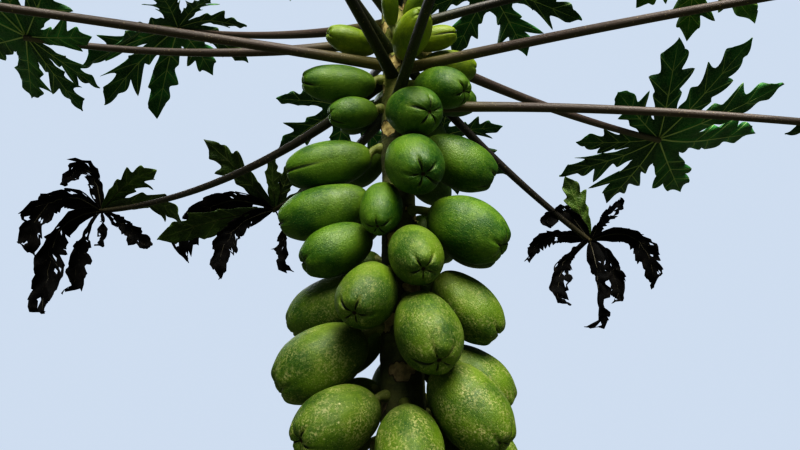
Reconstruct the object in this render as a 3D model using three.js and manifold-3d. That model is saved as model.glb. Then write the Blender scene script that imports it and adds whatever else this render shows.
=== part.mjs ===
// A fruiting papaya tree: one leaning trunk, a column of fruit on short stalks and a crown of long-stalked,
// deeply lobed leaves, three of them withered. Millimetres, +Z up. The origin is the centre of the flat cut
// under the trunk, at ground level. Azimuths are in degrees round the trunk: 0 faces -Y, 90 faces +X.
import * as THREE from "three";
import { mergeVertices } from "three/addons/utils/BufferGeometryUtils.js";
import Module from "manifold-3d";

const wasm = await Module();
wasm.setup();

// Driving dimensions of the trunk
const TRUNK_HEIGHT = 2760;
const TRUNK_FOOT_RADIUS = 80; // just above the root flare
const TRUNK_TIP_RADIUS = 26;
const TIP_ROUNDING = 70;
const FLARE_WIDTH = 48;
const FLARE_FALL = 80;
const FLARE_RIDGES = 5;
const RIDGE_DEPTH = 0.25; // of the flare's width, either way from its mean
const LEAN_X = -44;
const LEAN_Y = 36;

// Driving dimensions of the fruit
const STALK_RADIUS = 10;
const STALK_KNUCKLE = 16; // how far a stalk stands straight out of the trunk before it bends
const STALK_DROP = 0.08; // share of the fruit's length by which its stalk starts higher than the fruit ends
const STALK_END = 0.42; // share of the fruit's length from its middle to where its stalk ends inside it
const BRANCH_GIRTH = 0.85; // of the second fruit's stalk against the first one's
const FRUIT_SIDES = 8;
const FRUIT_RINGS = 5;
const FRUIT_BLUNTNESS = 0.85; // 1 is an ellipse, and less than 1 is blunter
const FRUIT_FULLNESS = 0.07; // how much wider its far half is, and its near half narrower
const FRUIT_HANG = 0.19; // how far a fruit stands off the trunk, as a share of its width
const FRUIT_TRUNK_GAP = 6;
const FRUIT_FRUIT_GAP = 2;
const SETTLE_STEPS = 120;

// Driving dimensions of the leaves
const PETIOLE_ROOT_RADIUS = 16;
const PETIOLE_TIP_RADIUS = 7.5;
const PETIOLE_SHEATH = 0.06; // share of the petiole over which its swollen root narrows
const PETIOLE_SWELL = 0.36; // how much wider the root is
const THINNEST = 0.62; // girth of the petiole of the smallest blade against that of a grown one
const GROWN_BLADE = 330;
const BALLS = 16; // along the first stretch of a petiole, which the fruit keeps off
const FIRST_BALL = 0.06;
const BALL_STEP = 0.024;
const LOBE_FAN = 312; // degrees from the first lobe to the last
const BLADE_THICKNESS_SHARE = 0.018; // of the blade's radius
const CLEAR = 0.35; // kept between neighbouring solids

const UP = new THREE.Vector3(0, 0, 1);
const DOWN = new THREE.Vector3(0, 0, -1);
const rad = THREE.MathUtils.degToRad;

// Fruit that shows on the near side, from the crown down. Each row is one stalk with one to three fruits:
// azimuth, height of the middle, droop of the axis, turn of the axis, length, width.
const NEAR_FRUIT = [
  [[-62, 2496, -2, 0, 132, 68]],
  [[20, 2468, -12, 0, 146, 84], [-6, 2576, -46, 0, 96, 42]],
  [[76, 2500, -4, 0, 118, 62], [48, 2602, -44, 0, 84, 40], [102, 2470, 0, 0, 140, 84]],
  [[-74, 2384, 6, 0, 182, 92]],
  [[60, 2342, 25, -8, 150, 98], [100, 2420, 8, 8, 156, 90]],
  [[-74, 2304, 12, 0, 120, 78]],
  [[16, 2258, 26, 16, 158, 114]],
  [[-90, 2176, 13, 0, 206, 114]],
  [[84, 2182, 28, 8, 184, 122]],
  [[12, 2118, 38, 4, 176, 126]],
  [[-90, 2066, 16, -4, 216, 122]],
  [[-18, 2038, 58, 6, 136, 94]],
  [[60, 1984, 32, 10, 186, 136], [96, 2004, 36, 0, 176, 120]],
  [[-74, 1946, 28, 0, 168, 112]],
  [[13, 1918, 38, 0, 170, 113]],
  [[-110, 1868, 28, 0, 196, 124]],
  [[-22, 1846, 40, 0, 170, 122]],
  [[76, 1830, 46, 6, 184, 122]],
  [[20, 1752, 48, 0, 190, 132]],
  [[-74, 1706, 33, 0, 212, 146]],
  [[96, 1680, 38, 0, 180, 124]],
  [[52, 1620, 48, 5, 204, 140]],
  [[-52, 1588, 23, 0, 190, 132]],
  [[4, 1540, 44, 0, 192, 130]],
  [[88, 1540, 42, 0, 178, 126], [44, 1448, 50, 0, 186, 126]],
  [[-90, 1474, 42, 0, 184, 128], [-34, 1424, 50, 0, 178, 122]],
];

// Fruit on the far side hangs in three ranks, two to a stalk, by rule.
const FAR_STALKS = 10;
const FAR_RANKS = [46, 6, -40];
const FAR_LOWEST = 1466;
const FAR_STEP = 50;

// Leaves from the oldest, low ones to the youngest at the tip. Each row: azimuth and height of the root,
// rise of the petiole at its root and how much it bends on the way, sideways sweep, petiole length,
// blade radius, pitch and roll of the blade, limpness of its lobes, which arch up where it is below 0,
// and number of lobes.
const LEAVES = [
  [126, 2497, -36, 6, -13, 730, 320, 0, 0, 1, 9],
  [8, 2346, -1, -8, 2, 869, 330, -30, 0, 0.25, 9],
  [-118, 2434, -28, 32, 5, 1000, 330, 0, 0, 1, 9],
  [80, 2334, -4, -10, -3, 1030, 330, -20, 0, 0.3, 9],
  [-152, 2347, -9, 8, 12, 710, 330, 0, 0, 1, 9],
  [-17, 2408, 5, -10, 0, 900, 330, -30, 0, 0.25, 9],
  [62, 2438, -3, -5, -1, 962, 340, -30, 0, 0.25, 9],
  [-65, 2450, -5, -3, 2, 1000, 350, -30, 0, 0.25, 9],
  [118, 2528, -11, 10, -5, 877, 450, 0, -22, -0.42, 9],
  [-32, 2474, 20, -14, 2, 860, 320, -24, 0, 0.25, 9],
  [-97, 2534, -5, 11, 14, 926, 360, 24, 16, -0.12, 9],
  [-166, 2500, 18, -3, 0, 780, 345, -24, 0, 0.25, 7],
  [174, 2424, 16, -4, -12, 790, 320, -24, 0, 0.25, 7],
  [88, 2556, 18, -8, 0, 800, 330, -16, 0, 0.25, 9],
  [-119, 2580, 10, 12, 5, 771, 370, -24, -16, 0.45, 9],
  [-50, 2596, 34, -14, 0, 780, 350, -14, 0, 0.22, 7],
  [25, 2618, 40, -14, 0, 760, 370, -10, 0, 0.22, 7],
  [148, 2628, 42, -12, 0, 780, 380, -12, 0, 0.22, 7],
  [-85, 2655, 38, -12, 0, 780, 380, -12, 0, 0.22, 7],
  [92, 2668, 50, -16, 0, 720, 360, -4, 0, 0.2, 7],
  [-150, 2680, 56, -16, 0, 680, 350, 4, 0, 0.2, 7],
  [-20, 2690, 66, -14, 0, 600, 310, 20, 0, 0.15, 7],
  [120, 2704, 76, -10, 0, 480, 250, 36, 0, 0.1, 7],
];

// The lobes of the withered leaves hang each its own way. By leaf, each row: azimuth and rise of the lobe
// where it starts, length, limpness, how soon it gives way, and how far its margins have rolled under.
const HANGING_LOBES = {
  1: [
    [-50, 68, 195, 0.3, 1.0, 0.45],
    [-68, 56, 240, 0.8, 1.1, 1],
    [-92, 22, 228, 0.62, 1.3, 0.8],
    [-62, -20, 290, 0.85, 1.4, 1],
    [-4, -45, 300, 1.0, 2.0, 1],
    [46, -28, 240, 1.0, 1.8, 1],
    [85, 26, 310, 0.9, 1.4, 0.6],
    [48, 50, 170, 0.35, 1.2, 0.8],
  ],
  3: [
    [-88, 36, 380, 1.0, 1.25, 0.9],
    [-62, 76, 280, 0.9, 1.0, 1],
    [-54, -14, 440, 1.0, 2.1, 1],
    [-24, -45, 310, 1.0, 2.0, 1],
    [50, -50, 150, 0.9, 1.6, 1],
    [78, -24, 255, 0.45, 1.1, 1],
    [88, 24, 290, 0.62, 1.1, 0.3],
    [62, 42, 240, 0.4, 1.2, 0.3],
  ],
  5: [
    [2, 50, 200, 0.1, 1.0, 0.3],
    [-62, 44, 320, 0.2, 1.0, 0.42],
    [34, 46, 190, 0.1, 1.0, 0.3],
    [76, 30, 220, 0.3, 1.0, 0.3],
    [-98, 26, 490, 1.0, 1.0, 0.7],
    [-88, -8, 390, 0.25, 1.0, 0.4],
    [-80, -14, 350, 1.0, 1.2, 0.9],
    [50, -45, 260, 1.0, 1.6, 1],
  ],
};

// Directions and places round the trunk
function heading(azimuth, rise) {
  const flat = Math.cos(rad(rise));
  return new THREE.Vector3(
    Math.sin(rad(azimuth)) * flat,
    -Math.cos(rad(azimuth)) * flat,
    Math.sin(rad(rise)),
  );
}

function trunkCentre(height) {
  const share = (height / TRUNK_HEIGHT) ** 2;
  return new THREE.Vector3(LEAN_X * share, LEAN_Y * share, height);
}

function trunkRadius(height) {
  const taper = TRUNK_FOOT_RADIUS + (TRUNK_TIP_RADIUS - TRUNK_FOOT_RADIUS) * (height / TRUNK_HEIGHT);
  const left = Math.max(0, TRUNK_HEIGHT - height) / TIP_ROUNDING;
  return taper * Math.sqrt(1 - Math.max(0, 1 - left) ** 2);
}

// Geometry to solid and back
function solidOf(geometry) {
  const bare = geometry.index ? geometry.toNonIndexed() : geometry.clone();
  bare.deleteAttribute("normal");
  bare.deleteAttribute("uv");
  const merged = mergeVertices(bare, 1e-3);
  return new wasm.Manifold(
    new wasm.Mesh({
      numProp: 3,
      vertProperties: new Float32Array(merged.attributes.position.array),
      triVerts: new Uint32Array(merged.index.array),
    }),
  );
}

function geometryOf(solid) {
  const mesh = solid.getMesh();
  const geometry = new THREE.BufferGeometry();
  geometry.setAttribute("position", new THREE.BufferAttribute(new Float32Array(mesh.vertProperties), 3));
  geometry.setIndex(new THREE.BufferAttribute(new Uint32Array(mesh.triVerts), 1));
  geometry.computeVertexNormals();
  return geometry;
}

// A closed round limb along a curve. radiusAt takes the share of the way and the angle round the limb.
function limb(curve, radiusAt, sides, steps) {
  const geometry = new THREE.CylinderGeometry(1, 1, 1, sides, steps);
  const position = geometry.attributes.position;
  const frames = curve.computeFrenetFrames(steps, false);
  const point = new THREE.Vector3();
  for (let i = 0; i < position.count; i += 1) {
    point.fromBufferAttribute(position, i);
    const share = 0.5 - point.y;
    const step = Math.round(share * steps);
    const radius = radiusAt(share, Math.atan2(point.z, point.x));
    const place = curve.getPoint(share);
    place.addScaledVector(frames.normals[step], point.x * radius);
    place.addScaledVector(frames.binormals[step], point.z * radius);
    position.setXYZ(i, place.x, place.y, place.z);
  }
  return facingOut(solidOf(geometry), geometry);
}

// A limb whose frame turned it inside out is turned back.
function facingOut(solid, geometry) {
  if (solid.volume() > 0) return solid;
  const flipped = geometry.toNonIndexed();
  const position = flipped.attributes.position;
  const a = new THREE.Vector3();
  const b = new THREE.Vector3();
  for (let i = 0; i < position.count; i += 3) {
    a.fromBufferAttribute(position, i);
    b.fromBufferAttribute(position, i + 1);
    position.setXYZ(i, b.x, b.y, b.z);
    position.setXYZ(i + 1, a.x, a.y, a.z);
  }
  return solidOf(flipped);
}

// The trunk, from its ridged root flare to its rounded tip. skin makes it that much fatter.
const TRUNK_SIDES = 15;
const TRUNK_STEPS = 16;
const CROWDING = 0.135; // of the stations towards the foot and the tip, where the radius changes fastest

function trunkSolid(skin) {
  const curve = new THREE.Curve();
  curve.getPoint = (share) => trunkCentre(TRUNK_HEIGHT * trunkStation(share));
  const radiusAt = (share, angle) => {
    const height = TRUNK_HEIGHT * trunkStation(share);
    const ridge = 1 - RIDGE_DEPTH + RIDGE_DEPTH * Math.cos(FLARE_RIDGES * angle);
    return Math.max(3, trunkRadius(height)) + FLARE_WIDTH * ridge * Math.exp(-height / FLARE_FALL) + skin;
  };
  return limb(curve, radiusAt, TRUNK_SIDES, TRUNK_STEPS);
}

function trunkStation(share) {
  return share - Math.sin(2 * Math.PI * share) * CROWDING;
}

// One fruit as its place, its axis and its size, from a row of the list
function fruitFrom([azimuth, height, droop, turn, length, width]) {
  const axis = heading(azimuth + turn, -droop);
  const reach = Math.hypot((length / 2) * Math.cos(rad(droop)), (width / 2) * Math.sin(rad(droop)));
  const radial = trunkRadius(height) + FRUIT_HANG * width + reach;
  const centre = trunkCentre(height).addScaledVector(heading(azimuth, 0), radial);
  return { centre, axis, length, width };
}

function farRow(stalk) {
  return [0, 1].map((twin) => {
    const index = 2 * stalk + twin;
    const height = FAR_LOWEST + FAR_STEP * index;
    const age = (TRUNK_HEIGHT - height) / (TRUNK_HEIGHT - FAR_LOWEST);
    const azimuth = 180 + FAR_RANKS[index % FAR_RANKS.length] + 5 * Math.sin(2.4 * index);
    const droop = 52 * age - 8 + 5 * Math.sin(1.7 * index);
    return [azimuth, height, droop, 0, 110 + 84 * age, 52 + 78 * age];
  });
}

// Three balls stand for a fruit where fruits crowd: its middle and its two ends.
function ballsOf(fruit) {
  const middle = fruit.width / 2;
  const end = middle * 0.9;
  const offset = fruit.length / 2 - end;
  return [[0, middle], [offset, end], [-offset, end]].map(([along, radius]) => ({
    centre: fruit.centre.clone().addScaledVector(fruit.axis, along),
    radius,
  }));
}

// Crowded fruits push each other away until they only touch, and stay off the petioles and the trunk.
function settle(fruits, petioleBalls) {
  for (let step = 0; step < SETTLE_STEPS; step += 1) {
    for (let i = 0; i < fruits.length; i += 1) {
      for (let j = i + 1; j < fruits.length; j += 1) pushApart(fruits[i], fruits[j]);
    }
    fruits.forEach((fruit) => keepOffPetioles(fruit, petioleBalls));
    fruits.forEach(keepOffTrunk);
  }
}

function pushApart(one, other) {
  if (one.centre.distanceTo(other.centre) > one.length / 2 + other.length / 2) return;
  for (const ball of ballsOf(one)) {
    for (const next of ballsOf(other)) {
      const away = next.centre.clone().sub(ball.centre);
      const lacking = ball.radius + next.radius + FRUIT_FRUIT_GAP - away.length();
      if (lacking <= 0) continue;
      away.setLength(lacking * 0.25);
      one.centre.sub(away);
      other.centre.add(away);
    }
  }
}

function keepOffPetioles(fruit, petioleBalls) {
  for (const { centre, radius } of petioleBalls) {
    if (fruit.centre.distanceTo(centre) > fruit.length / 2 + radius + FRUIT_FRUIT_GAP) continue;
    for (const ball of ballsOf(fruit)) {
      const away = ball.centre.clone().sub(centre);
      const lacking = ball.radius + radius + FRUIT_FRUIT_GAP - away.length();
      if (lacking > 0) fruit.centre.add(away.setLength(lacking * 0.3));
    }
  }
}

function keepOffTrunk(fruit) {
  for (const ball of ballsOf(fruit)) {
    const out = ball.centre.clone().sub(trunkCentre(ball.centre.z));
    const lacking = trunkRadius(ball.centre.z) + ball.radius + FRUIT_TRUNK_GAP - out.length();
    if (lacking > 0) fruit.centre.add(out.setLength(lacking));
  }
}

// A fruit is an egg with its fuller half away from the stalk.
function fruitBody(fruit, skin) {
  const points = [];
  for (let ring = 0; ring <= FRUIT_RINGS + 1; ring += 1) {
    const turn = (Math.PI * ring) / (FRUIT_RINGS + 1);
    const along = -Math.cos(turn);
    const fullness = 1 + FRUIT_FULLNESS * along;
    const radius = (fruit.width / 2) * Math.sin(turn) ** FRUIT_BLUNTNESS * fullness + skin;
    const end = ring === 0 || ring === FRUIT_RINGS + 1;
    points.push(new THREE.Vector2(end ? 0 : radius, along * (fruit.length / 2 + skin)));
  }
  const geometry = new THREE.LatheGeometry(points, FRUIT_SIDES);
  const upright = new THREE.Vector3(0, 1, 0);
  geometry.applyQuaternion(new THREE.Quaternion().setFromUnitVectors(upright, fruit.axis));
  geometry.translate(fruit.centre.x, fruit.centre.y, fruit.centre.z);
  return facingOut(solidOf(geometry), geometry);
}

// The stalk leaves the trunk level at the root, then bends down into the fruit's near end. The second
// fruit of a pair hangs from a branch of the first one's stalk.
function fruitStalk(fruit, root, skin, branch) {
  const inner = trunkCentre(root.z);
  const out = root.clone().sub(inner).normalize();
  const knuckle = root.clone().addScaledVector(out, STALK_KNUCKLE);
  const end = fruit.centre.clone().addScaledVector(fruit.axis, -fruit.length * STALK_END);
  const way = branch ? [knuckle, end] : [inner.addScaledVector(out, STALK_KNUCKLE), knuckle, end];
  const path = new THREE.CatmullRomCurve3(way, false, "centripetal");
  return limb(path, () => STALK_RADIUS * (branch ? BRANCH_GIRTH : 1) + skin, 5, branch ? 1 : 3);
}

// The place on the trunk where the stalk of a bunch starts: a little higher than its first fruit's near end
function stalkRoot([fruit]) {
  const end = fruit.centre.clone().addScaledVector(fruit.axis, -fruit.length / 2);
  const height = end.z + STALK_DROP * fruit.length;
  const inner = trunkCentre(height);
  const out = end.setZ(height).sub(inner).normalize();
  return inner.addScaledVector(out, trunkRadius(height));
}

function fruitSolid(fruits, skin) {
  const root = stalkRoot(fruits);
  const bodies = fruits.map((fruit) => fruitBody(fruit, skin));
  const hangers = fruits.map((fruit, i) => fruitStalk(fruit, root, skin, i > 0));
  return wasm.Manifold.union([...bodies, ...hangers]);
}

// The petiole's line: it leaves the trunk at its rise and bends evenly to its end.
function petioleLine([azimuth, height, rise, bend, sweep, length]) {
  const steps = 10;
  const points = [trunkCentre(height)];
  points.push(trunkCentre(height).addScaledVector(heading(azimuth, rise), trunkRadius(height)));
  for (let step = 0; step < steps; step += 1) {
    const share = (step + 0.5) / steps;
    const way = heading(azimuth + sweep * share, rise + bend * share);
    points.push(points.at(-1).clone().addScaledVector(way, length / steps));
  }
  return points;
}

function petioleRadius(row, share) {
  const girth = THINNEST + ((1 - THINNEST) * row[6]) / GROWN_BLADE;
  const sheath = PETIOLE_SWELL * Math.exp(-share / PETIOLE_SHEATH);
  const taper = PETIOLE_ROOT_RADIUS + (PETIOLE_TIP_RADIUS - PETIOLE_ROOT_RADIUS) * share ** 0.6;
  return taper * girth * (1 + sheath);
}

function petioleSolid(row, line) {
  const curve = new THREE.CatmullRomCurve3(line, false, "centripetal");
  return limb(curve, (share) => petioleRadius(row, share), 5, 4);
}

function petioleBallsOf(row) {
  const curve = new THREE.CatmullRomCurve3(petioleLine(row), false, "centripetal");
  return Array.from({ length: BALLS }, (_, i) => {
    const share = FIRST_BALL + BALL_STEP * i;
    return { centre: curve.getPoint(share), radius: petioleRadius(row, share) };
  });
}

// A lobe's rib: it starts in the plane of the blade and gives way to its weight towards the tip.
function lobeRib(start, way, length, limpness, haste) {
  const steps = 12;
  const points = [start.clone()];
  for (let step = 0; step < steps; step += 1) {
    const give = limpness * Math.min(1, ((step + 0.5) / steps) * haste);
    const bent = way.clone().lerp(DOWN, give).normalize();
    points.push(points.at(-1).clone().addScaledVector(bent, length / steps));
  }
  return new THREE.CatmullRomCurve3(points);
}

const SINUS = 0.3; // share of a lobe's length where it parts from the next one
const EAR_TIP = [0.72, 0.19]; // side lobe: share of the way out, and half width as a share of the length
const NOTCH = [0.64, 0.08];
const BASAL_LENGTH = 0.62; // the lobes beside the petiole against the middle one
const HANGING_WIDTH = [[0, 0.01], [0.3, 0.12], [0.62, 0.14], [1, 0]]; // half widths
const HANGING_SINK = 8; // how deep in the petiole's end these lobes start
const ROLL = 60; // degrees by which each margin of a rolled lobe is turned under
const TWIST = 110; // degrees by which a rolled lobe is twisted at its tip, its underside towards the front
const TWIST_START = 0.3; // share of the twist that it has at its start

// The blade's middle surface as points and triangles. It rests on the end of its petiole.
function bladeSurface(row, petioleEnd) {
  const [azimuth, , , , sweep, , radius, pitch, roll, limpness, count] = row;
  const forward = heading(azimuth + sweep, pitch);
  const across = new THREE.Vector3().crossVectors(UP, forward).normalize();
  const normal = new THREE.Vector3().crossVectors(forward, across).applyAxisAngle(forward, rad(roll));
  const end = petioleEnd.clone().addScaledVector(normal, petioleRadius(row, 1));
  const middle = (count - 1) / 2;
  const points = [end.clone()];
  const faces = [];
  const lobes = [];
  for (let i = 0; i < count; i += 1) {
    const angle = rad(((i - middle) * LOBE_FAN) / (count - 1));
    const way = forward.clone().applyAxisAngle(normal, angle);
    const side = new THREE.Vector3().crossVectors(normal, way);
    const length = radius * (1 - (1 - BASAL_LENGTH) * (Math.abs(i - middle) / middle) ** 1.5);
    const swing = Math.sin(2.3 * i + azimuth);
    const give = limpness * (0.8 + 0.2 * swing);
    const haste = 1.5 + 0.6 * swing;
    lobes.push({ side, length, rib: lobeRib(end, way, length, give, haste) });
  }
  const add = (point) => points.push(point) - 1;
  const off = (lobe, [along, out], hand) =>
    add(lobe.rib.getPointAt(along).addScaledVector(lobe.side, hand * out * lobe.length));
  const parting = [];
  for (let i = 0; i <= count; i += 1) {
    const before = lobes[i - 1];
    const after = lobes[i];
    if (before && after) {
      parting.push(add(before.rib.getPointAt(SINUS).add(after.rib.getPointAt(SINUS)).multiplyScalar(0.5)));
    } else {
      parting.push(off(before || after, [SINUS * 0.8, 0.1], before ? 1 : -1));
    }
  }
  lobes.forEach((lobe, i) => {
    const [left, right] = [parting[i], parting[i + 1]];
    const [leftEar, rightEar] = [off(lobe, EAR_TIP, -1), off(lobe, EAR_TIP, 1)];
    const [leftNotch, rightNotch] = [off(lobe, NOTCH, -1), off(lobe, NOTCH, 1)];
    const tip = add(lobe.rib.getPointAt(1));
    faces.push([0, left, right], [left, rightNotch, right], [left, leftNotch, rightNotch]);
    faces.push([left, leftEar, leftNotch], [right, rightNotch, rightEar], [leftNotch, tip, rightNotch]);
  });
  return { points, faces };
}

// One lobe of a withered leaf: a strip with its margins turned under, which twists as it hangs
function hangingLobe(hub, [azimuth, rise, length, limpness, haste, roll]) {
  const way = heading(azimuth, rise);
  const rib = lobeRib(hub, way, length, limpness, haste);
  const level = new THREE.Vector3().crossVectors(UP, way).normalize();
  const points = [];
  const faces = [];
  HANGING_WIDTH.forEach(([share, width], station) => {
    const tangent = rib.getTangentAt(share);
    const turned = TWIST * roll * (TWIST_START + (1 - TWIST_START) * share);
    const side = level.clone().applyAxisAngle(tangent, rad(azimuth < 0 ? turned : -turned));
    const normal = new THREE.Vector3().crossVectors(tangent, side).normalize();
    for (const hand of width > 0 ? [-1, 0, 1] : [0]) {
      const point = rib.getPointAt(share);
      point.addScaledVector(side, hand * width * length * Math.cos(rad(ROLL * roll)));
      point.addScaledVector(normal, -Math.abs(hand) * width * length * Math.sin(rad(ROLL * roll)));
      points.push(point);
    }
    const first = 3 * station;
    if (width > 0 && station > 0) {
      for (const left of [first - 3, first - 2]) {
        faces.push([left, left + 4, left + 1], [left, left + 3, left + 4]);
      }
    } else if (station > 0) {
      faces.push([first - 3, first, first - 2], [first - 2, first, first - 1]);
    }
  });
  return { points, faces };
}

// A surface with a thickness, closed along its rim
function thicken({ points, faces }, thickness) {
  const sheet = new THREE.BufferGeometry().setFromPoints(points);
  sheet.setIndex(faces.flat());
  sheet.computeVertexNormals();
  const normals = sheet.attributes.normal;
  const offset = (i, amount) =>
    points[i].clone().addScaledVector(new THREE.Vector3().fromBufferAttribute(normals, i), amount);
  const rim = new Map();
  for (const face of faces) {
    face.forEach((a, k) => {
      const b = face[(k + 1) % 3];
      if (!rim.delete(`${b},${a}`)) rim.set(`${a},${b}`, [a, b]);
    });
  }
  const top = points.map((_, i) => offset(i, thickness / 2));
  const under = points.map((_, i) => offset(i, -thickness / 2));
  const corners = faces.flatMap(([a, b, c]) => [top[a], top[b], top[c], under[a], under[c], under[b]]);
  for (const [a, b] of rim.values()) corners.push(top[b], top[a], under[a], top[b], under[a], under[b]);
  const geometry = new THREE.BufferGeometry().setFromPoints(corners);
  return facingOut(solidOf(geometry), geometry);
}

function leafSolid(row, index) {
  const line = petioleLine(row);
  const [before, end] = line.slice(-2);
  const hub = end.clone().addScaledVector(before.clone().sub(end).normalize(), HANGING_SINK);
  const hanging = HANGING_LOBES[index + 1];
  const blades = hanging ? hanging.map((lobe) => hangingLobe(hub, lobe)) : [bladeSurface(row, end)];
  const solids = blades.map((blade) => thicken(blade, row[6] * BLADE_THICKNESS_SHARE));
  return wasm.Manifold.union([petioleSolid(row, line), ...solids]);
}

// A solid is cut clear of what is already there, where it comes near, and keeps its main part.
function clearOf(solid, taken) {
  let kept = solid;
  for (const other of taken) {
    if (kept.intersect(other).volume() > 0) kept = kept.subtract(other);
  }
  return kept.decompose().sort((a, b) => b.volume() - a.volume())[0];
}

// The materials
const MATERIALS = {
  trunk: { color: 0x6f7358, roughness: 0.85 },
  fruit: { color: 0x4f7a2a, roughness: 0.45 },
  leaf: { color: 0x2f5a28, roughness: 0.6 },
  withered: { color: 0x14110f, roughness: 0.9 },
};

function meshOf(name, solid, kind, place) {
  const material = new THREE.MeshStandardMaterial({ ...MATERIALS[kind], metalness: 0 });
  const mesh = new THREE.Mesh(geometryOf(solid).translate(-place.x, -place.y, -place.z), material);
  mesh.position.copy(place);
  mesh.name = name;
  return mesh;
}

// The tree
const tree = new THREE.Group();
tree.name = "papaya_tree";
const grownTrunk = trunkSolid(CLEAR);
tree.add(meshOf("trunk", trunkSolid(0), "trunk", new THREE.Vector3()));

const stalks = [...NEAR_FRUIT, ...Array.from({ length: FAR_STALKS }, (_, i) => farRow(i))];
const bunches = stalks.map((rows) => rows.map(fruitFrom));
settle(bunches.flat(), LEAVES.flatMap(petioleBallsOf));

const number = (index) => String(index + 1).padStart(2, "0");
const grownFruit = [grownTrunk];
bunches.forEach((bunch, i) => {
  const hung = clearOf(fruitSolid(bunch, 0), grownFruit);
  tree.add(meshOf(`fruit_${number(i)}`, hung, "fruit", stalkRoot(bunch)));
  grownFruit.push(fruitSolid(bunch, CLEAR));
});
LEAVES.forEach((row, i) => {
  const kind = HANGING_LOBES[i + 1] ? "withered" : "leaf";
  const grown = clearOf(leafSolid(row, i), [grownTrunk]);
  tree.add(meshOf(`leaf_${number(i)}`, grown, kind, petioleLine(row)[1]));
});

export default tree;
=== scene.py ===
"""The looks of a fruiting papaya tree: a ringed trunk, waxy fruit with puckered tips, long petioles, deeply
cut blades with their veins, and the withered leaves that still hang. Sizes are in millimetres up to the
moment a piece is finished, and azimuths in degrees: 0 faces -Y, 90 faces +X."""
import math
import random

import bmesh
import bpy
from mathutils import Matrix, Vector, noise


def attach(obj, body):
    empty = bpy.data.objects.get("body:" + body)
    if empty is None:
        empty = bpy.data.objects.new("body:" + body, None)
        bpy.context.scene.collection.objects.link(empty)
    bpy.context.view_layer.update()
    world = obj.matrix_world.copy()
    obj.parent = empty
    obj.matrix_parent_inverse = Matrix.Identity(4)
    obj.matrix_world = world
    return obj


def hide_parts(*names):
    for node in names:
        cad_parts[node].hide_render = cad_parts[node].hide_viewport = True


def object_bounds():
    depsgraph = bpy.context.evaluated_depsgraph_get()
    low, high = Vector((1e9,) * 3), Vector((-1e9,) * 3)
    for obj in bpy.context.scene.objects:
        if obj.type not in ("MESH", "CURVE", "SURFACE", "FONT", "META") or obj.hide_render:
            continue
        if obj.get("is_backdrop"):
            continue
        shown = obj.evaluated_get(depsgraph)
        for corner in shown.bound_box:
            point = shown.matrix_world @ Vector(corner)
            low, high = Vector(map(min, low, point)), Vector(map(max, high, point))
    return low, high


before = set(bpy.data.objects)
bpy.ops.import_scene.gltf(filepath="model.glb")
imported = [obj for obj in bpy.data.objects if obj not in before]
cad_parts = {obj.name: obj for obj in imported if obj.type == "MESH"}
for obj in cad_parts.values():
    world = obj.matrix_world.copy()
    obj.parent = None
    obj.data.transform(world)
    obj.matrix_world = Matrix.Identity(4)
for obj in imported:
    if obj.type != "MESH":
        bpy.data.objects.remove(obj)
cad_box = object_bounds()
scene = bpy.context.scene
noise.seed_set(1)  # without a seed the vector noise differs from run to run

MM = 0.001
TURN = 2 * math.pi
UP = Vector((0, 0, 1))
DOWN = Vector((0, 0, -1))
SEAM = 1e-3  # points nearer than this are merged
WEB_MERGE = 0.01  # likewise between the lobes of a blade
MARK = "mark"  # what the points of a piece keep for its material, from 0 to 1

# The camera: its place, its tilt and its lens
CAMERA_PLACE = (-0.022, -1.45, 1.55)
CAMERA_TILT = 18
CAMERA_LENS = 30

# Trunk
TRUNK_HEIGHT = 2760
TRUNK_FOOT_RADIUS = 80
TRUNK_TIP_RADIUS = 26
TIP_ROUNDING = 70
FLARE_WIDTH = 48
FLARE_FALL = 80
FLARE_RIDGES = 5
RIDGE_DEPTH = 0.25  # of the flare's width, either way from its mean
LEAN = Vector((-44, 36, 0))

# Fruit
STALK_RADIUS = 10
STALK_KNUCKLE = 16
STALK_DROP = 0.08
BRANCH_GIRTH = 0.85  # of the second fruit's stalk against the first one's
FRUIT_HANG = 0.19
FRUIT_BLUNTNESS = 0.85  # 1 is an ellipse, and less is blunter
FRUIT_TRUNK_GAP = 6
FRUIT_FRUIT_GAP = 2
SETTLE_STEPS = 120

# Leaves
PETIOLE_ROOT_RADIUS = 16
PETIOLE_TIP_RADIUS = 7.5
PETIOLE_SHEATH = 0.06
PETIOLE_SWELL = 0.36
THINNEST = 0.62  # girth of the smallest blade's petiole against a grown one's
GROWN_BLADE = 330
BALLS = 16  # along the first stretch of a petiole, which the fruit keeps off
FIRST_BALL = 0.06
BALL_STEP = 0.024
LOBE_FAN = 312
BASAL_LENGTH = 0.62
HANGING_SINK = 8
TWIST = 110
TWIST_START = 0.3
STILL_GREEN = 0.5  # roll under which a hanging lobe is still green

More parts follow.
